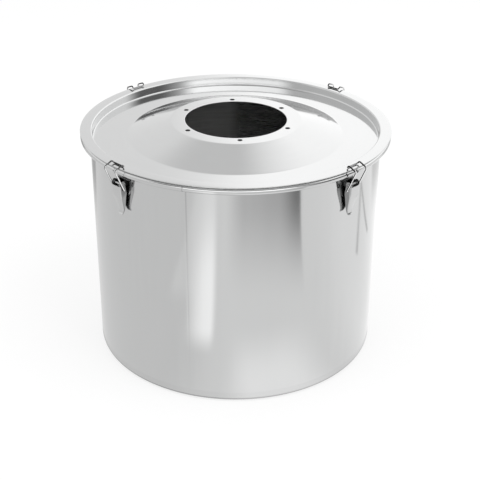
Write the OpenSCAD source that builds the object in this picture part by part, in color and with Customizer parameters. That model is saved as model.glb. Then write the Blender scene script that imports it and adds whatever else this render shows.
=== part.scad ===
// Stainless brew kettle with a clamped, dished lid and four over-centre wire latches.
// Frame: origin at the centre of the underside, +Z up, front of the kettle towards -Y.

/* [Kettle] */
// Outside diameter of the kettle wall
kettle_d = 400; // [360:5:450]
// Height from the underside to the top of the rolled rim
kettle_h = 320; // [240:5:450]
// Sheet thickness of the wall
wall_t = 1.0; // [0.8:0.1:1.5]
// Sheet thickness of the base
base_t = 1.2; // [1.0:0.1:2.0]
// Bend radius where the base turns up into its skirt
base_bend = 6; // [4:0.5:10]
// Height of the weld between base skirt and wall
weld_z = 14; // [12:1:30]
// How far the rolled rim stands out from the wall
rim_out = 12.8; // [11:0.1:16]
// Height of the rolled bead at the edge of the rim
bead_h = 8.5; // [4:0.5:9.5]

/* [Lid] */
// Sheet thickness of the lid
lid_t = 1.0; // [0.8:0.1:1.5]
// Depth of the recess inside the lid flange
lid_recess = 12; // [9:0.5:16]
// Height of the centre plateau above the lid flange
plateau_rise = 6.6; // [3:0.1:15]
// Diameter at the foot of the cone
cone_foot_d = 296; // [260:2:310]
// Diameter of the flat plateau
plateau_d = 180; // [172:2:200]
// Gap between the lid's plug and the kettle's inside, per side
plug_gap = 1.5; // [1:0.1:3]

/* [Port] */
// Diameter of the round port in the lid
port_d = 140; // [120:1:145]
// Bolt circle diameter round the port
port_pcd = 155; // [150:1:160]
// Number of bolt holes round the port
port_bolts = 6; // [4:1:8]
// Diameter of each bolt hole
port_hole_d = 6.6; // [4:0.1:7]
// Turn of the bolt circle from the rear centre line
port_turn = 4; // [0:1:30]

/* [Seal] */
// Thickness of the silicone seal when clamped
seal_t = 1.5; // [1:0.1:2.5]
// Radial width of the silicone seal
seal_w = 9; // [6:0.5:10]

/* [Latches] */
// Angle of the first latch from the +X axis; the others follow every 90 degrees
latch_a0 = 45; // [30:1:60]
// Wire diameter of the bail
wire_d = 2.0; // [1.6:0.1:2.4]
// Distance between the bail's two side wires
bail_w = 20.7; // [20.4:0.1:22]
// Width of the lever's head
lever_w = 17.4; // [17.2:0.1:17.6]
// Width of the lever's finger tip
tip_w = 8.8; // [7:0.1:11]
// Sheet thickness of base plate and lever
latch_t = 1.2; // [1.0:0.1:1.3]
// Width of the latch's base plate
plate_w = 27; // [24:0.5:28]
// Radial clearance of each pivot
pivot_gap = 0.06; // [0.02:0.01:0.1]

/* [Hidden] */
$fn = 64;

ro = kettle_d / 2;                       // outside of the wall
ri = ro - wall_t;                        // inside of the wall
rim_r = ro + rim_out;                    // outside of rim and lid flange
zt = kettle_h + seal_t + lid_t;          // top of the lid flange
wire_r = wire_d / 2;

// latch points in the radial plane: [distance from the axis, height above the lid flange's top]
P = [ro + 9, -23.5];                     // lever pivot
Q = [ro + 8, -31.5];                     // bail pivot on the lever
HB = [ro + 6.5, wire_r + 0.15];          // centre of the hook bar resting on the lid flange
HT = [ro + 9.2, 4.4];                    // crest of the hook
KN = [ro + 21.5, -0.8];                  // knee that takes the side wire round the rim
pin_r = 1.5;
cheek_i = lever_w / 2 - latch_t;         // inside face of a lever cheek
ear_o = cheek_i - 0.3;                   // outside face of a plate ear

// ---------- sheet-metal profile helpers ----------
function unit(v) = v / norm(v);
function left(d) = [-d[1], d[0]];
function crossz(a, b) = a[0] * b[1] - a[1] * b[0];
function rot2(v, a) = [v[0] * cos(a) - v[1] * sin(a), v[0] * sin(a) + v[1] * cos(a)];
function xy(p) = [p[0], p[1]];
// points of one side of a bent sheet; path holds [x, y, bend radius of the centre line]
function bend_side(path, off, n) = [
  for (i = [0 : len(path) - 1])
    let (v = xy(path[i]))
    if (i == 0)
      let (d = unit(xy(path[1]) - v)) v + left(d) * off
    else if (i == len(path) - 1)
      let (d = unit(v - xy(path[i - 1]))) v + left(d) * off
    else
      let (
        d1 = unit(v - xy(path[i - 1])), d2 = unit(xy(path[i + 1]) - v),
        s = sign(crossz(d1, d2)), b = acos(d1 * d2), r = path[i][2],
        c = v - d1 * r * tan(b / 2) + left(d1) * s * r
      )
      each [for (k = [0 : n]) c + rot2(-s * left(d1), s * b * k / n) * (r - s * off)]
];
function flip(l) = [for (i = [len(l) - 1 : -1 : 0]) l[i]];
function sheet(path, t, n = 8) = concat(bend_side(path, t / 2, n), flip(bend_side(path, -t / 2, n)));

// ---------- round wire helpers ----------
function cross3(a, b) = [a[1]*b[2]-a[2]*b[1], a[2]*b[0]-a[0]*b[2], a[0]*b[1]-a[1]*b[0]];
module rod(a, b, r) {
  d = unit(b - a);
  translate(a) rotate([0, acos(d[2]), atan2(d[1], d[0])]) cylinder(h = norm(b - a), r = r, $fn = 32);
}
module elbow(c, x, y, bend, r, a) {
  z = cross3(x, y);
  multmatrix([[x[0], y[0], z[0], c[0]], [x[1], y[1], z[1], c[1]], [x[2], y[2], z[2], c[2]], [0, 0, 0, 1]])
    rotate_extrude(angle = a, $fn = 64) translate([bend, 0]) circle(r = r, $fn = 32);
}
// wire along pts, bent at each inner point to the radius in bends
module wire(pts, bends, r) {
  n = len(pts);
  d = [for (i = [0 : n - 2]) unit(pts[i + 1] - pts[i])];
  b = [for (i = [0 : n - 1]) i == 0 || i == n - 1 ? 0 : acos(d[i - 1] * d[i])];
  l = [for (i = [0 : n - 1]) i == 0 || i == n - 1 ? 0 : bends[i] * tan(b[i] / 2)];
  // a bend is a hair thicker than the straights, whose ends run a little way into it
  lap = [for (i = [0 : n - 1]) i == 0 || i == n - 1 ? 0 : 0.2];
  union() {
    for (i = [0 : n - 2]) rod(pts[i] + d[i] * (l[i] - lap[i]), pts[i + 1] - d[i] * (l[i + 1] - lap[i + 1]), r);
    for (i = [1 : n - 2]) {
      nn = unit(d[i] - (d[i - 1] * d[i]) * d[i - 1]);
      elbow(pts[i] - d[i - 1] * l[i] + nn * bends[i], -nn, d[i - 1], bends[i], r + 0.04, b[i]);
    }
  }
}

// ---------- kettle ----------
module kettle_wall() {
  rm = ro - wall_t / 2;
  bm = bead_h / 2 - wall_t / 2;            // centre-line radius of the rolled bead
  xo = rim_r - wall_t / 2;
  zf = kettle_h - wall_t / 2;
  color("silver") rotate_extrude($fn = 180) polygon(sheet([
    [rm, weld_z], [rm, zf, 3], [xo, zf, bm], [xo, zf - 2.01 * bm, bm],
    [xo - 2.01 * bm, zf - 2.01 * bm, bm], [xo - 2.01 * bm, zf - 0.85 * bm]
  ], wall_t));
}
module kettle_base() {
  rm = ro - base_t / 2;
  color("silver") rotate_extrude($fn = 180) polygon(sheet([
    [0, base_t / 2], [rm, base_t / 2, base_bend], [rm, weld_z]
  ], base_t));
}

// ---------- lid ----------
module lid() {
  plug_r = ri - plug_gap - lid_t / 2;
  zf = zt - lid_t / 2;
  color("gainsboro") difference() {
    rotate_extrude($fn = 180) polygon(sheet([
      [port_d / 2, zf + plateau_rise], [plateau_d / 2, zf + plateau_rise, 9],
      [cone_foot_d / 2, zf - lid_recess, 12], [plug_r, zf - lid_recess, 2.5],
      [plug_r, zf, 1.6], [rim_r, zf]
    ], lid_t));
    for (i = [0 : port_bolts - 1])
      rotate([0, 0, 90 + port_turn + i * 360 / port_bolts])
        translate([port_pcd / 2, 0, zf + plateau_rise - 5]) cylinder(h = 10, d = port_hole_d, $fn = 32);
  }
}
// flat ring stretched round the lid's plug, squeezed between lid flange and rim
module lid_seal() {
  r1 = ri - plug_gap + 2.4;
  color("whitesmoke") translate([0, 0, kettle_h]) rotate_extrude($fn = 180)
    polygon([[r1, 0.02], [r1 + seal_w, 0.02], [r1 + seal_w + 0.25, seal_t / 2], [r1 + seal_w, seal_t - 0.02], [r1, seal_t - 0.02]]);
}

// ---------- one latch, drawn at angle 0: X is outwards, Y along the rim ----------
module in_plane(w) {                       // a radial-plane outline, w wide, centred on Y
  translate([0, w / 2, zt]) rotate([90, 0, 0]) linear_extrude(height = w) children();
}
module across(p, r, a, b) {                // a cylinder through radial-plane point p, from Y = a to Y = b
  translate([p[0], b, zt + p[1]]) rotate([90, 0, 0]) cylinder(h = b - a, r = r, $fn = 48);
}
function arc(x, y, r, a, b) = [for (k = [0 : 8]) let (t = a + (b - a) * k / 8) [x + r * cos(t), y + r * sin(t)]];

// plate welded to the wall, with two ears that carry the pivot pin
module latch_plate() {
  z0 = -41; z1 = -19.6; lo = lever_w / 2 + 0.6;
  color("dimgray") difference() {
    union() {
      intersection() {
        translate([ro - 5, 0, zt]) rotate([90, 0, 90]) linear_extrude(height = 12) polygon(concat(
          arc(plate_w / 2 - 2, z1 - 2, 2, 0, 90), arc(2 - plate_w / 2, z1 - 2, 2, 90, 180),
          [[-plate_w / 2, z1 - 8.5]], arc(1.5 - lo, z0 + 1.5, 1.5, 180, 270), arc(lo - 1.5, z0 + 1.5, 1.5, 270, 360),
          [[plate_w / 2, z1 - 8.5]]
        ));
        translate([0, 0, zt - 60]) cylinder(h = 60, r = ro + latch_t + 0.03, $fn = 180);
      }
      for (s = [-1, 1]) translate([0, s * (ear_o - latch_t / 2), 0]) in_plane(latch_t) union() {
        translate(P) circle(r = 3.2, $fn = 48);
        translate([ro - 1, P[1] - 3.2]) square([P[0] - ro + 1, 6.4]);
      }
    }
    translate([0, 0, zt - 80]) cylinder(h = 100, r = ro + 0.03, $fn = 180);
    across(P, pin_r, -20, 20);
  }
}
// rivet through ears and lever
module latch_pin() {
  h = lever_w / 2 + 0.04;
  color("silver") union() {
    across(P, pin_r - 0.005, -h, h);
    for (s = [0, 1]) mirror([0, s, 0]) translate([P[0], h, zt + P[1]]) rotate([-90, 0, 0]) cylinder(h = 0.5, r1 = 2.5, r2 = 1.7, $fn = 48);
  }
}
// pressed lever: a channel open towards the wall, tapering to a finger tip that turns outwards
module latch_lever() {
  tw = latch_t;
  color("dimgray") difference() {
    intersection() {
      in_plane(lever_w) translate([ro, 0]) polygon(concat(
        [for (a = [0 : 7.5 : 180]) P - [ro, 0] + 4.4 * [cos(a), sin(a)]],
        [[3.9, -34], [3.4, -40], [3.2, -56], [3.6, -60], [5.0, -63.2], [5.7, -65.2], [7.6, -67.2], [8.6, -66.4],
         [7.2, -64.2], [6.7, -62.5], [7.0, -60.5], [12.3, -41], [13.1, -36]]
      ));
      translate([ro - 5, 0, zt]) rotate([90, 0, 90]) linear_extrude(height = 30) polygon([
        [-lever_w / 2, -15], [lever_w / 2, -15], [lever_w / 2, -37.5], [lever_w / 2 - 0.4, -40.5], [tip_w / 2 + 0.2, -60], [tip_w / 2, -64], [tip_w / 2 - 1.2, -66.8], [tip_w / 2 - 2, -68],
        [-tip_w / 2 + 2, -68], [-tip_w / 2 + 1.2, -66.8], [-tip_w / 2, -64], [-tip_w / 2 - 0.2, -60], [-lever_w / 2 + 0.4, -40.5], [-lever_w / 2, -37.5]
      ]);
    }
    // the hollow of the channel
    intersection() {
      in_plane(lever_w) translate([ro, 0]) polygon([
        [12.25, -10], [12.2, -23.5], [11.9, -36], [11.15, -40.6], [6.3, -58.5], [2, -58.5], [2, -10]
      ]);
      translate([ro - 5, 0, zt]) rotate([90, 0, 90]) linear_extrude(height = 30) polygon([
        [-lever_w / 2 + tw, -10], [lever_w / 2 - tw, -10], [lever_w / 2 - tw, -37.3], [lever_w / 2 - tw - 0.4, -40.3], [tip_w / 2 - 1, -59],
        [-tip_w / 2 + 1, -59], [-lever_w / 2 + tw + 0.4, -40.3], [-lever_w / 2 + tw, -37.3]
      ]);
    }
    // open front above the pivot, so that the lever clears the ears as it swings up
    translate([P[0] + 2.8, -cheek_i, zt + P[1] - 2]) cube([5, 2 * cheek_i, 8]);
    across(P, pin_r + pivot_gap, -20, 20);
    across(Q, wire_r + pivot_gap, -20, 20);
  }
}
// sprung wire bail: two stubs in the lever's cheeks, side wires round the rim, a hook bar on the lid flange
module latch_bail() {
  y = bail_w / 2;
  yi = cheek_i + 0.15;
  k = KN - Q; t = HT - Q; h = HB - Q;      // the wire is laid out from its lower pivot
  pts = [
    [0, yi, 0], [0, y, 0], [k[0], y, k[1]], [t[0], y, t[1]], [h[0], y, h[1]],
    [h[0], -y, h[1]], [t[0], -y, t[1]], [k[0], -y, k[1]], [0, -y, 0], [0, -yi, 0]
  ];
  color("gainsboro") translate([Q[0], 0, zt + Q[1]]) wire(pts, [0, 1.4, 3.2, 2.4, 2.2, 2.2, 2.4, 3.2, 1.4, 0], wire_r);
}
module at_latch(i) { rotate([0, 0, latch_a0 + 90 * i]) children(); }

kettle_wall();
kettle_base();
lid();
lid_seal();
at_latch(0) latch_plate();  // latch_plate_rear_right
at_latch(1) latch_plate();  // latch_plate_rear_left
at_latch(2) latch_plate();  // latch_plate_front_left
at_latch(3) latch_plate();  // latch_plate_front_right
at_latch(0) latch_pin();  // latch_pin_rear_right
at_latch(1) latch_pin();  // latch_pin_rear_left
at_latch(2) latch_pin();  // latch_pin_front_left
at_latch(3) latch_pin();  // latch_pin_front_right
at_latch(0) latch_lever();  // latch_lever_rear_right
at_latch(1) latch_lever();  // latch_lever_rear_left
at_latch(2) latch_lever();  // latch_lever_front_left
at_latch(3) latch_lever();  // latch_lever_front_right
at_latch(0) latch_bail();  // latch_bail_rear_right
at_latch(1) latch_bail();  // latch_bail_rear_left
at_latch(2) latch_bail();  // latch_bail_front_left
at_latch(3) latch_bail();  // latch_bail_front_right
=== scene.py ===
import math

import bmesh
import bpy
from mathutils import Matrix, Vector, noise
from mathutils.geometry import delaunay_2d_cdt


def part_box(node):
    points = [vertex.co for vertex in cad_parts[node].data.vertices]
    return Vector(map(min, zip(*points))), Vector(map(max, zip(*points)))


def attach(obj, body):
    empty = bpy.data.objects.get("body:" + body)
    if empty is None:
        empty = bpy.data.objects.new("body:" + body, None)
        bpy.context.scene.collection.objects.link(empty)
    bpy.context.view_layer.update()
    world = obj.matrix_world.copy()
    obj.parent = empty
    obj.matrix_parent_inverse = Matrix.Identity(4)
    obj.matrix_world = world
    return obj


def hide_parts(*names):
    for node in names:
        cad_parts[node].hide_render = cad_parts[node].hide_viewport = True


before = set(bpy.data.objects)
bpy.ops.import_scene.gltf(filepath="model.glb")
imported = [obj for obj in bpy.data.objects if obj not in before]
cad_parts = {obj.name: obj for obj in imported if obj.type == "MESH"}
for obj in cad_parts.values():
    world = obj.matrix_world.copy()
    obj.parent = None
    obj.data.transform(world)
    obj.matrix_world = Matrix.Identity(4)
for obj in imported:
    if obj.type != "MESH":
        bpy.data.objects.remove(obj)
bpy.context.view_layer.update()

MM = 0.001
TAU = 2 * math.pi

# ------------------------------------------------------------------ sizes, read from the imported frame
w_lo, w_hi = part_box("kettle_wall")
b_lo, b_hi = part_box("kettle_base")
l_lo, l_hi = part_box("lid")
s_lo, s_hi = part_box("lid_seal")
RIM = round(w_hi[0] / MM, 1)               # outer radius of rim and lid flange, mm
RO = round(b_hi[0] / MM)                   # outer radius of the wall, mm
KH = round(w_hi[2] / MM, 2)                # top of the rolled rim
WELD = round(b_hi[2] / MM, 1)              # weld between base skirt and wall
PLATEAU = round(l_hi[2] / MM, 1)           # top of the lid's plateau
LID_T = 1.0
WALL_T = 1.0
BASE_T = 1.2
BEAD = 8.5
SEAL_T = round((s_hi[2] - s_lo[2]) / MM + 0.04, 1)
ZT = KH + SEAL_T + LID_T                   # top of the lid flange
RISE = PLATEAU - ZT
PORT_R = 70.0
PCD_R = 77.5
HOLE_R = 3.3
SEAM_AZ = math.radians(-90 - 17.8)         # longitudinal weld seam, front left
LATCHES = {"rear_right": 45, "rear_left": 135, "front_left": 225, "front_right": 315}


# ------------------------------------------------------------------ sheet-metal outlines (r, z in mm)
def unit(v):
    n = math.hypot(*v)
    return (v[0] / n, v[1] / n)


def sheet(path, t, n=10, ends=(0.25, 0.25), step=6.0):
    """Closed outline of a bent sheet. path: [x, y, centre-line bend radius]. Cut ends are eased by ends mm."""
    def side(off):
        out = []
        for i, p in enumerate(path):
            v = (p[0], p[1])
            if i == 0 or i == len(path) - 1:
                a, b = (path[0], path[1]) if i == 0 else (path[-2], path[-1])
                d = unit((b[0] - a[0], b[1] - a[1]))
                out.append((v[0] - d[1] * off, v[1] + d[0] * off))
                continue
            d1 = unit((v[0] - path[i - 1][0], v[1] - path[i - 1][1]))
            d2 = unit((path[i + 1][0] - v[0], path[i + 1][1] - v[1]))
            s = 1 if d1[0] * d2[1] - d1[1] * d2[0] > 0 else -1
            b = math.acos(max(-1, min(1, d1[0] * d2[0] + d1[1] * d2[1])))
            r = p[2]
            c = (v[0] - d1[0] * r * math.tan(b / 2) - d1[1] * s * r, v[1] - d1[1] * r * math.tan(b / 2) + d1[0] * s * r)
            for k in range(n + 1):
                a = s * b * k / n
                u = (s * d1[1], -s * d1[0])
                ca, sa = math.cos(a), math.sin(a)
                u = (u[0] * ca - u[1] * sa, u[0] * sa + u[1] * ca)
                out.append((c[0] + u[0] * (r - s * off), c[1] + u[1] * (r - s * off)))
        return out
    a, b = side(t / 2), side(-t / 2)
    def ease(p, q, pn, qn, e):
        """rounds the cut end between side points p and q, whose next points inwards are pn and qn; qn is not used"""
        d1, d2 = unit((pn[0] - p[0], pn[1] - p[1])), unit((q[0] - p[0], q[1] - p[1]))
        pts = []
        for k in range(4):
            a_ = (math.pi / 2) * k / 3
            x = e * (1 - math.sin(a_)); y = e * (1 - math.cos(a_))
            pts.append((p[0] + d1[0] * x + d2[0] * y, p[1] + d1[1] * x + d2[1] * y))
        return pts
    if ends[0]:
        s0 = ease(a[0], b[0], a[1], b[1], ends[0])
        s1 = ease(b[0], a[0], b[1], a[1], ends[0])
        a = s0[::-1] + a[1:]
        b = s1[::-1] + b[1:]
    if ends[1]:
        s0 = ease(a[-1], b[-1], a[-2], b[-2], ends[1])
        s1 = ease(b[-1], a[-1], b[-2], a[-2], ends[1])
        a = a[:-1] + s0
        b = b[:-1] + s1
    loop = a + b[::-1]
    out = []
    for i, p in enumerate(loop):
        q = loop[(i + 1) % len(loop)]
        out.append(p)
        d = math.hypot(q[0] - p[0], q[1] - p[1])
        m = int(d / step)
        for k in range(1, m + 1):
            out.append((p[0] + (q[0] - p[0]) * k / (m + 1), p[1] + (q[1] - p[1]) * k / (m + 1)))
    return out


def angles(n, extra=None):
    """n even steps round the circle; extra = (centre angle, half width, step) adds finer ones there"""
    a = [TAU * i / n for i in range(n)]
    if extra:
        c, hw, st = extra
        a = [x for x in a if abs((x - c + math.pi) % TAU - math.pi) > hw + TAU / n * 0.5]
        k = int(hw / st)
        a += [(c + st * i) % TAU for i in range(-k, k + 1)]
        a.sort()
    return a


def lathe(name, loop, angs, disp=None, sharp=35):
    """Revolves a closed outline about Z. disp(r, z, angle) returns a small (dr, dz) in mm."""
    n = len(loop)
    verts, faces, index = [], [], []
    for r, z in loop:
        if r < 1e-6:
            verts.append((0, 0, z * MM))
            index.append([len(verts) - 1] * len(angs))
            continue
        row = []
        for a in angs:
            dr, dz = disp(r, z, a) if disp else (0, 0)
            row.append(len(verts))
            verts.append(((r + dr) * MM * math.cos(a), (r + dr) * MM * math.sin(a), (z + dz) * MM))
        index.append(row)
    m = len(angs)
    for i in range(n):
        p, q = index[i], index[(i + 1) % n]
        for j in range(m):
            k = (j + 1) % m
            f = []
            for v in (p[j], p[k], q[k], q[j]):
                if v not in f:
                    f.append(v)
            if len(f) > 2:
                faces.append(f)
    return finish_mesh(name, verts, faces, sharp)


def finish_mesh(name, verts, faces, sharp=35):
    me = bpy.data.meshes.new(name)
    me.from_pydata(verts, [], faces)
    bm = bmesh.new()
    bm.from_mesh(me)
    bmesh.ops.remove_doubles(bm, verts=bm.verts, dist=1e-6)
    bmesh.ops.recalc_face_normals(bm, faces=bm.faces)
    bm.to_mesh(me)
    bm.free()
    me.shade_smooth()
    me.set_sharp_from_angle(angle=math.radians(sharp))
    o = bpy.data.objects.new(name, me)
    bpy.context.scene.collection.objects.link(o)
    return o


def bake_modifiers(o):
    """Replaces the object's mesh by its evaluated one and clears its modifiers."""
    dg = bpy.context.evaluated_depsgraph_get()
    dg.update()
    me = bpy.data.meshes.new_from_object(o.evaluated_get(dg), depsgraph=dg)
    old = o.data
    o.modifiers.clear()
    o.data = me
    bpy.data.meshes.remove(old)
    me.name = o.name
    return o


def wave(x, y, z, s):
    return noise.noise(Vector((x * s, y * s, z * s)))


def sst(a, b, x):
    t = max(0.0, min(1.0, (x - a) / (b - a)))
    return t * t * (3 - 2 * t)


# ------------------------------------------------------------------ kettle wall and base
def wall_disp(r, z, a):
    if r > RO + 1.0:
        return (0, 0)
    live = sst(18, 70, z) * (1 - sst(KH - 60, KH - 12, z)) * (1.0 if r > RO - 0.5 else 0.25)
    x, y = RO * math.cos(a), RO * math.sin(a)
    d = 0.16 * live * (wave(x, y, z * 0.35, 1 / 75) + 0.5 * wave(x + 300, y, z * 0.5, 1 / 34))
    s = RO * ((a - SEAM_AZ + math.pi) % TAU - math.pi)
    end = sst(WELD + 1, WELD + 8, z) * (1 - sst(KH - 10, KH - 5, z))
    d += end * (0.03 * math.exp(-(s / 5.0) ** 2) - 0.05 * math.exp(-(s / 0.9) ** 2))
    return (d, 0)


def make_wall():
    rm, bm_ = RO - WALL_T / 2, BEAD / 2 - WALL_T / 2
    xo, zf = RIM - WALL_T / 2, KH - WALL_T / 2
    loop = sheet([
        [rm, WELD], [rm, zf, 3], [xo, zf, bm_], [xo, zf - 2.01 * bm_, bm_],
        [xo - 2.01 * bm_, zf - 2.01 * bm_, bm_], [xo - 2.01 * bm_, zf - 0.85 * bm_],
    ], WALL_T, n=12, ends=(0.0, 0.2), step=9.0)
    return lathe("kettle_wall_skin", loop, angles(480, (SEAM_AZ % TAU, 12 / RO, 0.55 / RO)), wall_disp)


def make_base():
    rm = RO - BASE_T / 2
    loop = sheet([[0, BASE_T / 2], [rm, BASE_T / 2, 6], [rm, WELD]], BASE_T, n=14, ends=(0, 0), step=9.0)

    def disp(r, z, a):
        # shallow pressed rings stiffen the flat of the base; the rest ring stays flat on the floor
        d = 0.35 * (sst(150, 156, r) - sst(172, 178, r)) + 0.35 * (1 - sst(58, 66, r))
        return (0, d if r < 185 else 0)

    return lathe("kettle_base_skin", loop, angles(480), disp)


# ------------------------------------------------------------------ lid
def lid_disp(r, z, a):
    x, y = r * math.cos(a), r * math.sin(a)
    live = 1 - sst(186, 194, r)
    flange = sst(199, 203, r) * (1 - sst(209, 212, r))
    inner = sst(86, 96, r)
    d = 0.10 * live * inner * wave(x, y, 9.0, 1 / 60) + 0.03 * flange * wave(x, y, 90.0, 1 / 40)
    return (0, d)


def ring(r, z, angs):
    return [(r * math.cos(a) * MM, r * math.sin(a) * MM, z * MM) for a in angs]


def make_lid():
    ri = RO - WALL_T
    plug = ri - 1.5 - LID_T / 2
    zf = ZT - LID_T / 2
    rj = 85.0                                # where the flat plateau meets the turned shape
    angs = angles(480)
    loop = sheet([
        [rj, zf + RISE], [90, zf + RISE, 9], [148, zf - 12, 12], [plug, zf - 12, 2.5], [plug, zf, 1.6], [RIM, zf],
    ], LID_T, n=12, ends=(0.0, 0.3), step=5.0)
    # drop the inner cut end: the plateau closes it
    lo_z, hi_z = zf + RISE - LID_T / 2, zf + RISE + LID_T / 2
    n = len(loop)
    verts, faces, rows = [], [], []
    for r, z in loop:
        row = []
        for a in angs:
            _, dz = lid_disp(r, z, a)
            row.append(len(verts))
            verts.append((r * MM * math.cos(a), r * MM * math.sin(a), (z + dz) * MM))
        rows.append(row)
    m = len(angs)
    for i in range(n):
        (r1, z1), (r2, z2) = loop[i], loop[(i + 1) % n]
        if abs(r1 - rj) < 1e-6 and abs(r2 - rj) < 1e-6:
            continue
        p, q = rows[i], rows[(i + 1) % n]
        for j in range(m):
            k = (j + 1) % m
            faces.append((p[j], p[k], q[k], q[j]))
    e, eh = 0.22, 0.12                       # eased edges of port and holes
    holes = [(PCD_R * math.cos(math.radians(94 + 60 * i)), PCD_R * math.sin(math.radians(94 + 60 * i))) for i in range(6)]
    ha = angles(56)
    pa = angles(360)
    for z, zi, s in ((hi_z, hi_z - e, 1), (lo_z, lo_z + e, -1)):
        pts, edges, ids = [], [], []

        def add(poly):
            b = len(pts)
            pts.extend(poly)
            edges.extend((b + i, b + (i + 1) % len(poly)) for i in range(len(poly)))
        add([(rj * math.cos(a), rj * math.sin(a)) for a in angs])
        for rr in (rj - 1.0, PORT_R + e + 0.8, PORT_R + e):
            add([(rr * math.cos(a), rr * math.sin(a)) for a in pa])
        for cx, cy in holes:
            for rr in (HOLE_R + eh + 0.4, HOLE_R + eh):
                add([(cx + rr * math.cos(a), cy + rr * math.sin(a)) for a in ha])
        v2, _, f2, _, _, _ = delaunay_2d_cdt([Vector(p) for p in pts], edges, [], 0, 1e-7)
        base = len(verts)
        verts.extend((v.x * MM, v.y * MM, z * MM) for v in v2)
        for f in f2:
            cx = sum(v2[i].x for i in f) / len(f)
            cy = sum(v2[i].y for i in f) / len(f)
            rr = math.hypot(cx, cy)
            if rr < PORT_R + e or rr > rj + 0.01 or any(math.hypot(cx - hx, cy - hy) < HOLE_R + eh for hx, hy in holes):
                continue
            faces.append(tuple(base + i for i in (f if s > 0 else f[::-1])))
    for cx, cy, r, aa, e in [(0, 0, PORT_R, pa, e)] + [(hx, hy, HOLE_R, ha, eh) for hx, hy in holes]:
        prev = None
        for rr, z in ((r + e, hi_z), (r + 0.29 * e, hi_z - 0.29 * e), (r, hi_z - e), (r, lo_z + e), (r + 0.29 * e, lo_z + 0.29 * e), (r + e, lo_z)):
            row = []
            for a in aa:
                row.append(len(verts))
                verts.append(((cx + rr * math.cos(a)) * MM, (cy + rr * math.sin(a)) * MM, z * MM))
            if prev:
                for j in range(len(aa)):
                    k = (j + 1) % len(aa)
                    faces.append((prev[j], prev[k], row[k], row[j]))
            prev = row
    o = finish_mesh("lid_pressing", verts, faces, 32)
    o.data.materials.append(M_LID)
    o.data.materials.append(M_HOLE_WALL_PAINTED_SHADE)
    # the hole walls and their eased inner edge take the near-black steel: painted shade in the holes
    for f in o.data.polygons:
        c = f.center
        f.material_index = 1 if any(math.hypot(c.x / MM - hx, c.y / MM - hy) < HOLE_R + 0.11 for hx, hy in holes) else 0
    return o


def make_seal():
    r1, z0 = RO - WALL_T - 1.5 + 2.4, KH
    r2, t, e = r1 + 9, SEAL_T, 0.35
    z1, z2 = z0 + 0.02, z0 + t - 0.02
    loop = [(r1 + e, z1), (r1 + 0.1, z1 + 0.1), (r1, z1 + e), (r1, z2 - e), (r1 + 0.1, z2 - 0.1), (r1 + e, z2),
            (r1 + 3, z2), (r1 + 6, z2), (r2 - e, z2), (r2 + 0.06, z2 - 0.15), (r2 + 0.22, (z1 + z2) / 2), (r2 + 0.06, z1 + 0.15), (r2 - e, z1),
            (r1 + 6, z1), (r1 + 3, z1)]
    return lathe("lid_seal_ring", loop, angles(240), lambda r, z, a: (0.15 * wave(math.cos(a) * 3, math.sin(a) * 3, 1, 1), 0), 50)


# ------------------------------------------------------------------ latch pieces, local frame in mm: x outwards from the wall, y along the rim, z from the lid flange's top
P = (9.0, -23.5)
Q = (8.0, -31.5)
KN, HT, HB = (21.5, -0.8), (9.2, 4.4), (6.5, 1.15)


def place(o, az):
    a = math.radians(az)
    m = Matrix.Rotation(a, 4, "Z") @ Matrix.Translation((RO * MM, 0, ZT * MM))
    o.data.transform(m)
    return o


def lerp_table(tab, x):
    for (x0, v0), (x1, v1) in zip(tab, tab[1:]):
        if (x0 - x) * (x1 - x) <= 0 and x0 != x1:
            t = (x - x0) / (x1 - x0)
            return v0 + (v1 - v0) * t
    return tab[0][1] if abs(x - tab[0][0]) < abs(x - tab[-1][0]) else tab[-1][1]


def smooth_path(pts, n):
    """Catmull-Rom through pts, n points in all"""
    out = []
    m = len(pts) - 1
    for k in range(n):
        u = k / (n - 1) * m
        i = min(int(u), m - 1)
        t = u - i
        p0, p1, p2, p3 = pts[max(i - 1, 0)], pts[i], pts[i + 1], pts[min(i + 2, m)]
        out.append(tuple(0.5 * ((2 * b) + (c - a) * t + (2 * a - 5 * b + 4 * c - d) * t * t + (3 * b - a - 3 * c + d) * t ** 3)
                         for a, b, c, d in zip(p0, p1, p2, p3)))
    return out


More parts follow.
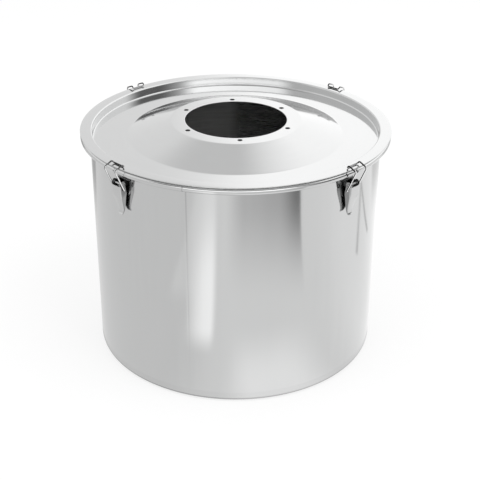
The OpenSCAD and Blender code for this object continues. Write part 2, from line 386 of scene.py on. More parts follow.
def make_lever(name):
    W, T = 8.7, 1.2
    # station: front x, z, half width, cheek depth, corner radius
    st = smooth_path([
        (13.30, -25.5, 8.70, 8.5, 1.9), (13.25, -29.0, 8.70, 9.0, 1.9), (13.10, -34.0, 8.66, 9.3, 1.9), (12.75, -38.0, 8.55, 9.3, 1.9),
        (12.00, -42.0, 8.05, 8.5, 1.9), (10.90, -46.0, 7.25, 7.5, 1.9), (9.75, -50.0, 6.45, 6.4, 1.8), (8.60, -54.0, 5.75, 5.3, 1.7),
        (7.60, -58.0, 5.05, 4.1, 1.5), (7.00, -61.0, 4.62, 2.9, 1.2), (6.95, -63.3, 4.45, 1.7, 0.7), (7.55, -65.2, 4.15, 1.25, 0.4), (8.55, -66.5, 3.30, 1.2, 0.3),
    ], 44)
    NC, NA, NF = 7, 5, 12
    verts, faces, rows = [], [], []

    def section(x, z, w, d, rc, tx, tz):
        nx, nz = -tz, tx                     # outward normal in the radial plane (path runs down)
        pts = []
        for k in range(NC):
            pts.append((-w, -(d - (d - rc) * k / NC)))
        for k in range(NA):
            a = math.pi / 2 * k / NA
            pts.append((-(w - rc) - rc * math.cos(a), -rc + rc * math.sin(a)))
        for k in range(NF + 1):
            u = -1 + 2 * k / NF
            pts.append((u * (w - rc), 0.32 * (1 - u * u) * min(1, w / 8)))
        for k in range(1, NA + 1):
            a = math.pi / 2 * k / NA
            pts.append(((w - rc) + rc * math.sin(a), -rc + rc * math.cos(a)))
        for k in range(1, NC + 1):
            pts.append((w, -(rc + (d - rc) * k / NC)))
        return [(x + nx * h, y, z + nz * h) for y, h in pts]

    for i, (x, z, w, d, rc) in enumerate(st):
        a, b = st[max(i - 1, 0)], st[min(i + 1, len(st) - 1)]
        tx, tz = unit((b[0] - a[0], b[1] - a[1]))
        tx, tz = tx, tz
        if i == 0:
            tx, tz = 0.0, -1.0
        row = []
        for p in section(x, z, w, d, rc, tx, tz):
            row.append(len(verts))
            verts.append(p)
        rows.append(row)
    m = len(rows[0])
    for i in range(len(rows) - 1):
        for j in range(m - 1):
            faces.append((rows[i][j], rows[i][j + 1], rows[i + 1][j + 1], rows[i + 1][j]))
    # rounded cheek heads round the pivot
    for side in (0, 1):
        cols = list(range(NC + 1)) if side == 0 else list(range(m - 1, m - NC - 2, -1))
        base = [rows[0][c] for c in cols]
        prev = base
        K = 7
        for r in range(1, K + 1):
            t = r / K
            cur = []
            for j, bi in enumerate(base):
                u = j / NC
                ang = math.radians(198 - 216 * u)
                top = (P[0] + 4.4 * math.cos(ang), P[1] + 4.4 * math.sin(ang))
                bx, by, bz = verts[bi]
                x = bx + (top[0] - bx) * t
                z = bz + (top[1] - bz) * t
                cur.append(len(verts))
                verts.append((x, by, z))
            for j in range(NC):
                f = (prev[j], prev[j + 1], cur[j + 1], cur[j])
                faces.append(f if side == 0 else f[::-1])
            prev = cur
    verts = [(x * MM, y * MM, z * MM) for x, y, z in verts]
    me = bpy.data.meshes.new(name)
    me.from_pydata(verts, [], faces)
    bm = bmesh.new()
    bm.from_mesh(me)
    bmesh.ops.remove_doubles(bm, verts=bm.verts, dist=1e-5)
    bmesh.ops.dissolve_degenerate(bm, edges=bm.edges, dist=1e-5)
    bmesh.ops.recalc_face_normals(bm, faces=bm.faces)
    # outward must be away from the channel's middle
    s = sum((f.calc_center_median() - Vector((0.006, 0, -0.042))).dot(f.normal) * f.calc_area() for f in bm.faces)
    if s < 0:
        bmesh.ops.reverse_faces(bm, faces=bm.faces)
    bm.to_mesh(me)
    bm.free()
    o = bpy.data.objects.new(name, me)
    bpy.context.scene.collection.objects.link(o)
    for m in (M_LEVER, M_LATCH_PAINTED_SHADE, M_CHEEK_PAINTED_SHADE, M_LATCH_PAINTED_SHADE):
        me.materials.append(m)
    for f in me.polygons:
        # the lever's side faces get the darker cheek steel: painted shade on its sides
        f.material_index = 2 if abs(f.normal.y) > 0.8 else 0
    # the inner faces get the near-black latch steel by material offset: painted shade inside the lever's channel
    so = o.modifiers.new("thick", "SOLIDIFY")
    so.thickness = T * MM
    so.offset = -1
    so.use_even_offset = True
    so.material_offset = 1
    so.material_offset_rim = 0
    be = o.modifiers.new("ease", "BEVEL")
    be.width = 0.22 * MM
    be.segments = 2
    be.limit_method = "ANGLE"
    be.angle_limit = math.radians(50)
    bake_modifiers(o)
    # pivot holes
    for (px, pz), r in ((P, 1.56), (Q, 1.06)):
        bpy.ops.mesh.primitive_cylinder_add(vertices=48, radius=r * MM, depth=30 * MM, location=(px * MM, 0, pz * MM), rotation=(math.pi / 2, 0, 0))
        c = bpy.context.object
        bo = o.modifiers.new("hole", "BOOLEAN")
        bo.operation = "DIFFERENCE"
        bo.solver = "EXACT"
        bo.object = c
        bake_modifiers(o)
        cm = c.data
        bpy.data.objects.remove(c)
        bpy.data.meshes.remove(cm)
    o.data.shade_smooth()
    o.data.set_sharp_from_angle(angle=math.radians(42))
    return o


def fillet_path(pts, radii, seg=10):
    out = []
    for i, p in enumerate(pts):
        p = Vector(p)
        if i == 0 or i == len(pts) - 1 or not radii[i]:
            out.append(p)
            continue
        a, b = (Vector(pts[i - 1]) - p).normalized(), (Vector(pts[i + 1]) - p).normalized()
        ang = a.angle(b)
        r = radii[i]
        d = r / math.tan(ang / 2)
        c = p + (a + b).normalized() * (r / math.sin(ang / 2))
        s, e = p + a * d - c, p + b * d - c
        tot = s.angle(e)
        ax = s.cross(e).normalized()
        for k in range(seg + 1):
            out.append(c + Matrix.Rotation(tot * k / seg, 3, ax) @ s)
    return out


def sweep(name, path, r, sides=20, cap=0.35):
    """Round wire along path, its ends eased"""
    n = len(path)
    tang = [(path[min(i + 1, n - 1)] - path[max(i - 1, 0)]).normalized() for i in range(n)]
    nrm = tang[0].orthogonal().normalized()
    verts, faces, rows = [], [], []
    stations = []
    for i in range(n):
        if i:
            ax = tang[i - 1].cross(tang[i])
            if ax.length > 1e-9:
                nrm = Matrix.Rotation(tang[i - 1].angle(tang[i]), 3, ax.normalized()) @ nrm
        nrm = (nrm - tang[i] * nrm.dot(tang[i])).normalized()
        stations.append((path[i], tang[i], nrm.copy(), 1.0))
    first, last = stations[0], stations[-1]
    stations = ([(first[0] + first[1] * 0.0, first[1], first[2], 1 - cap), (first[0] + first[1] * r * cap, first[1], first[2], 1.0)]
                + stations[1:-1]
                + [(last[0] - last[1] * r * cap, last[1], last[2], 1.0), (last[0], last[1], last[2], 1 - cap)])
    for p, t, nn, k in stations:
        b = t.cross(nn)
        row = []
        for j in range(sides):
            a = TAU * j / sides
            row.append(len(verts))
            verts.append(tuple((p + (nn * math.cos(a) + b * math.sin(a)) * r * k) * MM))
        rows.append(row)
    for i in range(len(rows) - 1):
        for j in range(sides):
            k = (j + 1) % sides
            faces.append((rows[i][j], rows[i][k], rows[i + 1][k], rows[i + 1][j]))
    for row in (rows[0], rows[-1]):
        verts.append(tuple(sum((Vector(verts[i]) for i in row), Vector()) / sides))
        c = len(verts) - 1
        for j in range(sides):
            faces.append((row[j], row[(j + 1) % sides], c))
    return finish_mesh(name, verts, faces, 50)


def make_bail(name):
    y, yi = 10.35, 7.65
    c = [(Q[0], yi, Q[1]), (Q[0], y, Q[1]), (KN[0], y, KN[1]), (HT[0], y, HT[1]), (HB[0], y, HB[1]),
         (HB[0], -y, HB[1]), (HT[0], -y, HT[1]), (KN[0], -y, KN[1]), (Q[0], -y, Q[1]), (Q[0], -yi, Q[1])]
    path = fillet_path(c, [0, 1.4, 3.2, 2.4, 2.2, 2.2, 2.4, 3.2, 1.4, 0], 10)
    return sweep(name, path, 1.0)


def make_pin(name):
    h = 8.74
    prof = [(0, 0.62), (0.9, 0.60), (1.6, 0.50), (2.15, 0.34), (2.42, 0.16), (2.5, 0.0), (2.42, -0.02)]
    half = [(r, h + z) for r, z in prof] + [(1.495, h - 0.02)]
    loop = half + [(r, -z) for r, z in reversed(half)]
    verts, faces, rows = [], [], []
    seg = 40
    for r, z in loop:
        row = []
        for j in range(seg if r > 0 else 1):
            a = TAU * j / seg
            row.append(len(verts))
            verts.append(((P[0] + r * math.cos(a)) * MM, z * MM, (P[1] + r * math.sin(a)) * MM))
        rows.append(row if r > 0 else row * seg)
    for i in range(len(rows) - 1):
        for j in range(seg):
            k = (j + 1) % seg
            f = []
            for v in (rows[i][j], rows[i][k], rows[i + 1][k], rows[i + 1][j]):
                if v not in f:
                    f.append(v)
            faces.append(f)
    return finish_mesh(name, verts, faces, 40)


# ------------------------------------------------------------------ shader expressions
class E:
    """A socket with arithmetic, so that a pattern reads as a formula."""
    def __init__(self, nt, s):
        self.nt, self.s = nt, s

    def _m(self, op, *args):
        n = self.nt.nodes.new("ShaderNodeMath")
        n.operation = op
        for i, a in enumerate(args):
            if isinstance(a, E):
                self.nt.links.new(a.s, n.inputs[i])
            else:
                n.inputs[i].default_value = a
        return E(self.nt, n.outputs[0])

    def __add__(self, o): return self._m("ADD", self, o)
    __radd__ = __add__
    def __sub__(self, o): return self._m("SUBTRACT", self, o)
    def __rsub__(self, o): return self._m("SUBTRACT", o, self)
    def __mul__(self, o): return self._m("MULTIPLY", self, o)
    __rmul__ = __mul__
    def __truediv__(self, o): return self._m("DIVIDE", self, o)
    def __neg__(self): return self * -1.0
    def atan2(self, o): return self._m("ARCTAN2", self, o)
    def sqrt(self): return self._m("SQRT", self)
    def abs(self): return self._m("ABSOLUTE", self)
    def sin(self): return self._m("SINE", self)
    def max(self, o): return self._m("MAXIMUM", self, o)
    def min(self, o): return self._m("MINIMUM", self, o)
    def pow(self, o): return self._m("POWER", self, o)

    def step(self, a, b, lo=0.0, hi=1.0):
        """smooth step from lo at a to hi at b"""
        n = self.nt.nodes.new("ShaderNodeMapRange")
        n.interpolation_type = "SMOOTHSTEP"
        n.inputs["From Min"].default_value = a
        n.inputs["From Max"].default_value = b
        n.inputs["To Min"].default_value = lo
        n.inputs["To Max"].default_value = hi
        self.nt.links.new(self.s, n.inputs["Value"])
        return E(self.nt, n.outputs["Result"])

    def bump(self, a, b, c, d):
        return self.step(a, b) * self.step(c, d, 1.0, 0.0)


def node(nt, kind, **kw):
    n = nt.nodes.new(kind)
    for k, v in kw.items():
        if k in n.inputs:
            n.inputs[k].default_value = v
        else:
            setattr(n, k, v)
    return n


def xyz(nt, sock):
    n = node(nt, "ShaderNodeSeparateXYZ")
    nt.links.new(sock, n.inputs[0])
    return [E(nt, o) for o in n.outputs]


def vec(nt, x, y, z):
    n = node(nt, "ShaderNodeCombineXYZ")
    for i, v in enumerate((x, y, z)):
        if isinstance(v, E):
            nt.links.new(v.s, n.inputs[i])
        else:
            n.inputs[i].default_value = v
    return n.outputs[0]


def noise_tex(nt, v, scale, detail=3.0, rough=0.5, distortion=0.0):
    n = node(nt, "ShaderNodeTexNoise")
    n.inputs["Scale"].default_value = scale
    n.inputs["Detail"].default_value = detail
    n.inputs["Roughness"].default_value = rough
    n.inputs["Distortion"].default_value = distortion
    nt.links.new(v, n.inputs["Vector"])
    return E(nt, n.outputs[0])


def new_mat(name):
    m = bpy.data.materials.new(name)
    m.use_nodes = True
    nt = m.node_tree
    nt.nodes.clear()
    out = node(nt, "ShaderNodeOutputMaterial")
    b = node(nt, "ShaderNodeBsdfPrincipled")
    nt.links.new(b.outputs[0], out.inputs[0])
    return m, nt, b


def grey(nt, e, tint=(1.0, 1.0, 1.0)):
    n = node(nt, "ShaderNodeCombineColor")
    for i, t in enumerate(tint):
        nt.links.new((e * t).s, n.inputs[i])
    return n.outputs[0]


def steel(name, base=0.62, rough=0.10, grain="around", grain_amt=0.5, tint=(0.995, 1.0, 1.0), seam=False, wear=0.02, floor_fade=False):
    """Bright sheet steel: fine directional grain in roughness and bump, slight cloudiness in colour."""
    m, nt, b = new_mat(name)
    geo = node(nt, "ShaderNodeNewGeometry")
    x, y, z = xyz(nt, node(nt, "ShaderNodeTexCoord").outputs["Object"])
    ca, sa = math.cos(-SEAM_AZ + math.pi), math.sin(-SEAM_AZ + math.pi)
    xr, yr = x * ca - y * sa, x * sa + y * ca          # turned so that the angle's jump lies on the seam
    th = yr.atan2(xr)
    r = (x * x + y * y).sqrt()
    if grain == "vertical":
        fine = noise_tex(nt, vec(nt, th * 0.2, z * 0.012, r * 0.2), 2600, 2.0, 0.6)
        broad = noise_tex(nt, vec(nt, th * 0.2, z * 0.05, r * 0.2), 130, 3.0, 0.55)
    elif grain == "around":
        fine = noise_tex(nt, vec(nt, th * 0.004, z, r), 2600, 2.0, 0.6)
        broad = noise_tex(nt, vec(nt, th * 0.03, z, r), 120, 3.0, 0.5)
    else:
        fine = noise_tex(nt, vec(nt, x, y, z * 0.05), 3800, 2.0, 0.6)
        broad = noise_tex(nt, vec(nt, x, y, z), 240, 3.0, 0.5)
    cloud = noise_tex(nt, vec(nt, x, y, z), 9, 3.0, 0.55)
    col = base + (cloud - 0.5) * wear + (broad - 0.5) * wear
    ro = rough + (fine - 0.5) * 0.05 * grain_amt + (broad - 0.5) * 0.04 + (cloud - 0.5) * 0.05
    h = fine * (0.00001 * grain_amt)
    if seam:
        s = (th.abs() - math.pi).abs() * 0.2            # distance from the weld seam along the wall
        low = z.step(0.14, 0.24)                        # the bead is polished out towards the foot
        near = s.step(0.0004, 0.0016, 1.0, 0.0) * (0.12 + low * 0.88)
        band = s.step(0.004, 0.010, 1.0, 0.0)
        top = z.step(0.20, 0.30)
        col = col - near * (0.05 + top * 0.07) - band * 0.006
        ro = ro + near * 0.12 + band * 0.02
    nt.links.new(grey(nt, col, tint), b.inputs["Base Color"])
    nt.links.new(ro.max(0.03).s, b.inputs["Roughness"])
    b.inputs["Metallic"].default_value = 1.0
    bp = node(nt, "ShaderNodeBump")
    bp.inputs["Strength"].default_value = 1.0
    bp.inputs["Distance"].default_value = 1.0
    nt.links.new(h.s, bp.inputs["Height"])
    nt.links.new(bp.outputs[0], b.inputs["Normal"])
    return m


def brushed_inner(name):
    """Inside of the kettle: rolled finish, brushed round and round, with a painted highlight band."""
    m, nt, b = new_mat(name)
    x, y, z = xyz(nt, node(nt, "ShaderNodeTexCoord").outputs["Object"])
    ca, sa = math.cos(-SEAM_AZ + math.pi), math.sin(-SEAM_AZ + math.pi)
    xr, yr = x * ca - y * sa, x * sa + y * ca
    th = yr.atan2(xr)
    fine = noise_tex(nt, vec(nt, th * 0.006, z, 0.0), 1500, 2.0, 0.6)
    lines = noise_tex(nt, vec(nt, th * 0.012, z, 0.0), 260, 3.0, 0.6)
    cloud = noise_tex(nt, vec(nt, x, y, z * 2.0), 7, 3.0, 0.55)
    half = (-x).step(-0.010, 0.014) * (-x).step(0.09, 0.18, 1.0, 0.0) * y.step(0.0, 0.12)   # painted highlight: a band on the left of the inner wall, painted lighter, rougher and less metallic, standing in for light reaching it
    col = 0.52 + half * 0.20 + (lines - 0.5) * 0.32 + (cloud - 0.5) * 0.08
    nt.links.new(grey(nt, col), b.inputs["Base Color"])
    nt.links.new((0.27 + half * 0.10 + (lines - 0.5) * 0.14 + (fine - 0.5) * 0.08).s, b.inputs["Roughness"])
    nt.links.new((0.90 - half * (0.42 + (lines - 0.5) * 0.5)).s, b.inputs["Metallic"])
    bp = node(nt, "ShaderNodeBump")
    bp.inputs["Strength"].default_value = 1.0
    bp.inputs["Distance"].default_value = 1.0
    nt.links.new((fine * 0.00001 + lines * 0.00004).s, bp.inputs["Height"])
    nt.links.new(bp.outputs[0], b.inputs["Normal"])
    return m


def painted_shade_steel(name, base=0.10, rough=0.16, edge_wear_and_highlight_amt=0.45):
    """Near-black pressed steel: the dark base is painted shade; edges are painted brighter where handling has rubbed
    them, partly wear and partly a painted edge highlight.
    """
    m, nt, b = new_mat(name)
    geo = node(nt, "ShaderNodeNewGeometry")
    x, y, z = xyz(nt, node(nt, "ShaderNodeTexCoord").outputs["Object"])
    fine = noise_tex(nt, vec(nt, x, y, z * 0.06), 5200, 2.0, 0.6)
    broad = noise_tex(nt, vec(nt, x, y, z), 420, 3.0, 0.55)
    edge = E(nt, geo.outputs["Pointiness"]).step(0.515, 0.60)
    rub_wear_and_highlight = edge * broad.step(0.25, 0.6)
    # edges lighter: wear where rubbed, and a painted edge highlight
    col = base + rub_wear_and_highlight * edge_wear_and_highlight_amt + (broad - 0.5) * base * 0.5
    nt.links.new(grey(nt, col, (0.98, 0.99, 1.0)), b.inputs["Base Color"])
    ro = rough + (fine - 0.5) * 0.06 + (broad - 0.5) * 0.12 - rub_wear_and_highlight * 0.04
    nt.links.new(ro.max(0.05).s, b.inputs["Roughness"])
    b.inputs["Metallic"].default_value = 1.0
    bp = node(nt, "ShaderNodeBump")
    bp.inputs["Strength"].default_value = 1.0
    bp.inputs["Distance"].default_value = 1.0
    nt.links.new((fine * 0.000006 + broad * 0.00002).s, bp.inputs["Height"])
    nt.links.new(bp.outputs[0], b.inputs["Normal"])
    return m


def wire_steel(name):
    """Bright drawn wire: lengthwise draw marks; light and shade painted into its colour: one side bright, the other
    near black, its rim painted darker.
    """
    m, nt, b = new_mat(name)
    x, y, z = xyz(nt, node(nt, "ShaderNodeTexCoord").outputs["Object"])
    fine = noise_tex(nt, vec(nt, x, y, z * 0.1), 4200, 2.0, 0.6)
    geo = node(nt, "ShaderNodeNewGeometry")
    turn = node(nt, "ShaderNodeVectorTransform", vector_type="NORMAL", convert_from="WORLD", convert_to="CAMERA")
    nt.links.new(geo.outputs["Normal"], turn.inputs[0])
    nx, ny, nz = xyz(nt, turn.outputs[0])                # x to the right of the view, y up it
    lw = node(nt, "ShaderNodeLayerWeight")
    lw.inputs["Blend"].default_value = 0.5
    face = E(nt, lw.outputs["Facing"])
    # painted light and shade: the side facing right and down in view is painted bright, the other side near black
    painted_lit_side = (nx - ny * 0.45).step(-0.06, 0.14)
    hook_painted_dark = z.step(0.3215, 0.3260)                        # the hook's top, where it bears on the lid, is painted dark: a painted dark reflection
    # painted shade: the wire's rim as seen is painted darker, like a mirror rod's dark reflection
    col = (0.03 + painted_lit_side * (0.92 - hook_painted_dark * 0.72)) * (1.0 - face.step(0.55, 0.95) * 0.5) + (fine - 0.5) * 0.04
    nt.links.new(grey(nt, col), b.inputs["Base Color"])
    nt.links.new((0.10 + (fine - 0.5) * 0.06).s, b.inputs["Roughness"])
    b.inputs["Metallic"].default_value = 1.0
    bp = node(nt, "ShaderNodeBump")
    bp.inputs["Strength"].default_value = 1.0
    bp.inputs["Distance"].default_value = 1.0
    nt.links.new((fine * 0.000004).s, bp.inputs["Height"])
    nt.links.new(bp.outputs[0], b.inputs["Normal"])
    return m


def silicone(name):
    m, nt, b = new_mat(name)
    x, y, z = xyz(nt, node(nt, "ShaderNodeTexCoord").outputs["Object"])
    n1 = noise_tex(nt, vec(nt, x, y, z), 900, 3.0, 0.6)
    n2 = noise_tex(nt, vec(nt, x, y, z), 60, 2.0, 0.5)
    col = 0.82 + (n2 - 0.5) * 0.10 + (n1 - 0.5) * 0.04
    nt.links.new(grey(nt, col, (1.0, 0.995, 0.97)), b.inputs["Base Color"])
    nt.links.new((0.48 + (n1 - 0.5) * 0.2).s, b.inputs["Roughness"])
    b.inputs["Subsurface Weight"].default_value = 0.15
    b.inputs["Subsurface Radius"].default_value = (0.002, 0.002, 0.002)
    bp = node(nt, "ShaderNodeBump")
    bp.inputs["Strength"].default_value = 0.6
    bp.inputs["Distance"].default_value = 1.0
    nt.links.new((n1 * 0.00003).s, bp.inputs["Height"])
    nt.links.new(bp.outputs[0], b.inputs["Normal"])
    return m


def set_mat(o, m):
    o.data.materials.clear()
    o.data.materials.append(m)
    for p in o.data.polygons:
        p.material_index = 0


# ------------------------------------------------------------------ build the visual pieces
M_WALL = steel("polished_wall_steel", 0.62, 0.085, "vertical", 0.6, seam=True)
M_INNER = brushed_inner("brushed_inner_steel")
M_BASE = steel("polished_base_steel", 0.60, 0.13, "around", 0.9)
M_LID = steel("polished_lid_steel", 0.62, 0.085, "around", 0.45)
# near-black hole walls: painted shade in the lid's holes
M_HOLE_WALL_PAINTED_SHADE = painted_shade_steel("hole_wall_painted_shade", 0.015, 0.40, 0.0)
M_SEAL = silicone("white_silicone")
# near-black latch steel for the plates and the levers' inner faces: painted shade
M_LATCH_PAINTED_SHADE = painted_shade_steel("latch_steel_painted_shade", 0.075, 0.22)
M_LEVER = steel("bright_latch_steel", 0.60, 0.10, "plain", 0.6)
# darker copy of the lever steel for its sides: painted shade
M_CHEEK_PAINTED_SHADE = steel("cheek_steel_painted_shade", 0.42, 0.16, "plain", 0.9, wear=0.05)
M_WIRE = wire_steel("drawn_spring_wire")
M_PIN = steel("turned_pin_steel", 0.50, 0.18, "plain", 0.8)

wall = make_wall()
set_mat(wall, M_WALL)
wall.data.materials.append(M_INNER)
for f in wall.data.polygons:
    c = f.center
    if math.hypot(c.x, c.y) < (RO - WALL_T * 0.75) * MM and c.z < (KH - 3.5) * MM:
        f.material_index = 1
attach(wall, "kettle"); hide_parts("kettle_wall")
base = make_base()
set_mat(base, M_BASE)
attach(base, "kettle"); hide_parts("kettle_base")
lid = make_lid()
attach(lid, "lid"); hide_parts("lid")
seal = make_seal()
set_mat(seal, M_SEAL)
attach(seal, "lid"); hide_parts("lid_seal")

lever0 = make_lever("lever_master")
bail0 = make_bail("bail_master")
pin0 = make_pin("pin_master")
for nm, az in LATCHES.items():
    for src, piece, mat, body, cad, slot in (
            (lever0, "lever_pressing_", None, "lever_" + nm, "latch_lever_" + nm, "latch_steel"),
            (bail0, "bail_wire_", M_WIRE, "bail_" + nm, "latch_bail_" + nm, "bail_wire"),
            (pin0, "pivot_rivet_", M_PIN, "kettle", "latch_pin_" + nm, "pin_steel")):
        o = bpy.data.objects.new(piece + nm, src.data.copy())
        o.data.name = piece + nm
        bpy.context.scene.collection.objects.link(o)
        if mat:
            set_mat(o, mat)
        place(o, az)
        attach(o, body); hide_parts(cad)
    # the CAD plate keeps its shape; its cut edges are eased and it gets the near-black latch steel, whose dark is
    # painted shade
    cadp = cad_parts["latch_plate_" + nm]
    w = cadp.modifiers.new("weld", "WELD")
    w.merge_threshold = 0.00001
    bv = cadp.modifiers.new("ease", "BEVEL")
    bv.width = 0.00022
    bv.segments = 3
    bv.limit_method = "ANGLE"
    bv.angle_limit = math.radians(40)
    if cadp.material_slots:
        for s in cadp.material_slots:
            s.material = M_LATCH_PAINTED_SHADE
    else:
        cadp.data.materials.append(M_LATCH_PAINTED_SHADE)
for o in (lever0, bail0, pin0):
    me = o.data
    bpy.data.objects.remove(o)
    bpy.data.meshes.remove(me)

# ------------------------------------------------------------------ floor: plain and pale to the camera; glossy rays see a glowing painted pattern instead: painted reflections of the studio's soft light falling off across it, with painted dark patches and strokes
fl = bpy.data.meshes.new("floor")
fl.from_pydata([(-6, -6, 0), (6, -6, 0), (6, 6, 0), (-6, 6, 0)], [], [(0, 1, 2, 3)])
floor = bpy.data.objects.new("floor", fl)
bpy.context.scene.collection.objects.link(floor)
floor.location.z = -0.0002
fm = bpy.data.materials.new("pale_floor")
fm.use_nodes = True
nt = fm.node_tree
nt.nodes.clear()
out = node(nt, "ShaderNodeOutputMaterial")
lp = node(nt, "ShaderNodeLightPath")
geo = node(nt, "ShaderNodeNewGeometry")
px, py, pz = xyz(nt, geo.outputs["Position"])
phi = px.atan2(-py) * (180 / math.pi)      # 0 in front of the kettle, positive to its right
rho = (px * px + py * py).sqrt()
# painted reflection: glowing brightness by direction round the kettle, seen only by glossy rays
painted_light_base = (0.81 + phi.step(-35, -5) * 0.13 + phi.step(50, 85) * 0.10 + phi.step(100, 140) * 0.14 - phi.step(150, 180) * 0.36)
painted_light_base = painted_light_base + phi.bump(-8, 8, 26, 52) * rho.step(0.24, 0.40, 1.0, 0.0) * 0.22
# painted light: a wedge and a streak of extra brightness for the metal to mirror
painted_light_wedge = (phi + 30.0 + (0.75 - rho) * 42.0).step(-2.0, 2.0) * phi.step(-31, -22, 1.0, 0.0) * rho.step(0.42, 0.50) * 0.075
painted_light_streak = phi.bump(-33, -17.5, -15.5, -11.0) * rho.step(0.30, 0.38) * (1.0 - rho.step(0.50, 0.85) * 0.62) * 0.44
# painted shade: dark patches to the front right and at the back, seen only in reflections
dark = (phi.step(-8, 6) * 0.30 + phi.step(6, 30) * 0.10 + phi.step(28, 44) * 0.36) * phi.step(44.0, 45.4, 1.0, 0.0) * rho.step(0.42, 0.86) * rho.step(1.0, 1.5, 1.0, 0.0)
painted_back_shade = phi.bump(118, 124, 138, 152) * rho.step(0.5, 0.8) * 0.30 + phi.bump(-150, -141, -132, -128) * rho.step(0.42, 0.75) * 0.40


def painted_stroke(x0, y0, x1, y1, w, amt):
    """a thin painted dark stroke on the floor, seen only in reflections, from one point to another"""
    L = math.hypot(x1 - x0, y1 - y0)
    ux, uy = (x1 - x0) / L, (y1 - y0) / L
    t = (px - x0) * ux + (py - y0) * uy
    d = ((py - y0) * ux - (px - x0) * uy).abs()
    return d.step(w * 0.5, w, 1.0, 0.0) * t.bump(-w, 0.0, L, L + w) * amt


# two painted dark strokes, mirrored by the body as dark lines
painted_dark_strokes = painted_stroke(0.47, 0.19, 0.74, 0.165, 0.014, 0.38).max(painted_stroke(0.475, 0.035, 0.735, 0.16, 0.016, 0.34))
# the painted reflection: light, streak and wedge, less the painted dark patches and strokes
pattern = (painted_light_base + painted_light_streak + painted_light_wedge) * (1.0 - dark) * (1.0 - painted_back_shade) * (1.0 - painted_dark_strokes)
# painted shadow: the glow falls near black close round the foot, so the base's lower edge reflects dark
pattern = pattern * rho.step(0.189, 0.207, 0.03, 1.0)
em = node(nt, "ShaderNodeEmission")
nt.links.new(grey(nt, pattern), em.inputs["Color"])
df = node(nt, "ShaderNodeBsdfDiffuse")
df.inputs["Color"].default_value = (0.90, 0.90, 0.90, 1)
lift = node(nt, "ShaderNodeEmission")
lift.inputs["Color"].default_value = (1, 1, 1, 1)
pale = node(nt, "ShaderNodeMixShader")
pale.inputs[0].default_value = 0.70
nt.links.new(df.outputs[0], pale.inputs[1])
nt.links.new(lift.outputs[0], pale.inputs[2])
mx = node(nt, "ShaderNodeMixShader")
nt.links.new(lp.outputs["Is Glossy Ray"], mx.inputs[0])
nt.links.new(pale.outputs[0], mx.inputs[1])
nt.links.new(em.outputs[0], mx.inputs[2])
nt.links.new(mx.outputs[0], out.inputs[0])
floor.data.materials.append(fm)

# ------------------------------------------------------------------ studio: white surround, brighter to the right, softer overhead
world = bpy.data.worlds.new("studio")
bpy.context.scene.world = world
world.use_nodes = True
nt = world.node_tree
nt.nodes.clear()
wo = node(nt, "ShaderNodeOutputWorld")
lp = node(nt, "ShaderNodeLightPath")
dx, dy, dz = xyz(nt, node(nt, "ShaderNodeTexCoord").outputs["Generated"])
hor = (dx * dx + dy * dy).sqrt().max(0.001)
side = dx / hor                            # -1 left, +1 right
az = dx.atan2(-dy) * (180 / math.pi)       # 0 towards the camera's side, positive to the right
low = 1.0 + side.step(-0.09, 0.05) * 0.42
high = 0.80 + (-side).step(0.30, 0.90) * 0.13 + side.step(0.0, 0.55) * 0.64
back = low + (high - low) * dz.step(0.60, 0.80)
# camera side: a long window low down, unlit ceiling above it
cam_w = az.abs().step(62, 80, 1.0, 0.0)
window = 0.85 + (az.abs().step(34, 52, 1.0, 0.0) * 1.0 + 0.10 + az.step(-40, 50) * 0.35) * dz.step(0.23, 0.30)
room = window + (0.03 - window) * dz.step(0.53, 0.60)
room = room + (0.62 - room) * dz.step(0.68, 0.78)
room = room + (back - room) * dz.step(0.84, 0.94)
sky = back + (room - back) * cam_w
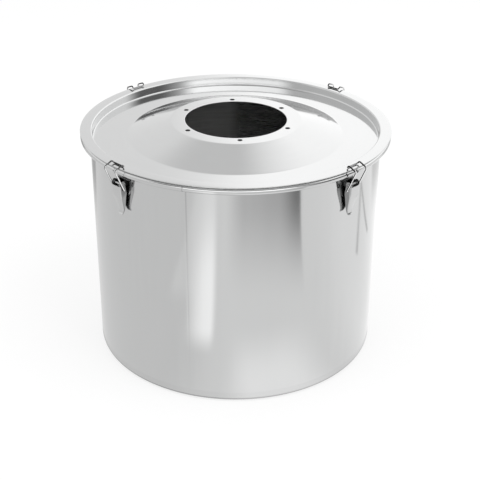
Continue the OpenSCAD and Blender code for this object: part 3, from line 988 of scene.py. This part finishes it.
# the horizon is dim, least so to the left, and a stand stands at the right
rim_dim = 0.30 + (-az).step(20, 90) * 0.25 + az.abs().step(40, 66, 0.50, 0.0)
sky = sky * (rim_dim + (1.0 - rim_dim) * dz.step(0.015, 0.075))
stand = az.bump(30, 70, 86, 108) * dz.step(0.40, 0.60, 1.0, 0.0)
sky = sky * (1.0 - stand * 0.84)
bg1 = node(nt, "ShaderNodeBackground")
nt.links.new(grey(nt, sky), bg1.inputs["Color"])
bg2 = node(nt, "ShaderNodeBackground")
bg2.inputs["Color"].default_value = (1, 1, 1, 1)
bg2.inputs["Strength"].default_value = 1.0
mx = node(nt, "ShaderNodeMixShader")
nt.links.new(lp.outputs["Is Glossy Ray"], mx.inputs[0])
nt.links.new(bg2.outputs[0], mx.inputs[1])
nt.links.new(bg1.outputs[0], mx.inputs[2])
nt.links.new(mx.outputs[0], wo.inputs[0])


def area(name, loc, target, size, power):
    d = bpy.data.lights.new(name, "AREA")
    d.size = size
    d.energy = power
    o = bpy.data.objects.new(name, d)
    bpy.context.scene.collection.objects.link(o)
    o.location = loc
    o.rotation_euler = (Vector(target) - Vector(loc)).to_track_quat("-Z", "Y").to_euler()
    o.visible_glossy = False
    o.visible_camera = False
    return o


area("key_soft", (1.6, -1.0, 2.4), (0, 0, 0.1), 2.2, 26)
area("fill_soft", (-2.0, -1.2, 1.9), (0, 0, 0.1), 2.2, 14)

# ------------------------------------------------------------------ camera at the photograph's angle
cam_d = bpy.data.cameras.new("camera")
cam = bpy.data.objects.new("camera", cam_d)
bpy.context.scene.collection.objects.link(cam)
cam_d.sensor_width = 36
cam_d.lens = 1024.13 * 36 / 480
cam_d.clip_start = 0.01
el, yaw, roll = math.radians(27.67), -0.005, 0.0058
fwd = Matrix.Rotation(yaw, 3, "Z") @ Vector((0, math.cos(el), -math.sin(el)))
right = fwd.cross(Vector((0, 0, 1))).normalized()
up = right.cross(fwd)
r2 = right * math.cos(roll) + up * math.sin(roll)
u2 = up * math.cos(roll) - right * math.sin(roll)
cam.matrix_world = Matrix(((r2.x, u2.x, -fwd.x, 0.0), (r2.y, u2.y, -fwd.y, -1.3240), (r2.z, u2.z, -fwd.z, 0.8354), (0, 0, 0, 1)))
bpy.context.scene.camera = cam
bpy.context.scene.view_settings.view_transform = "Standard"
bpy.context.scene.view_settings.look = "None"
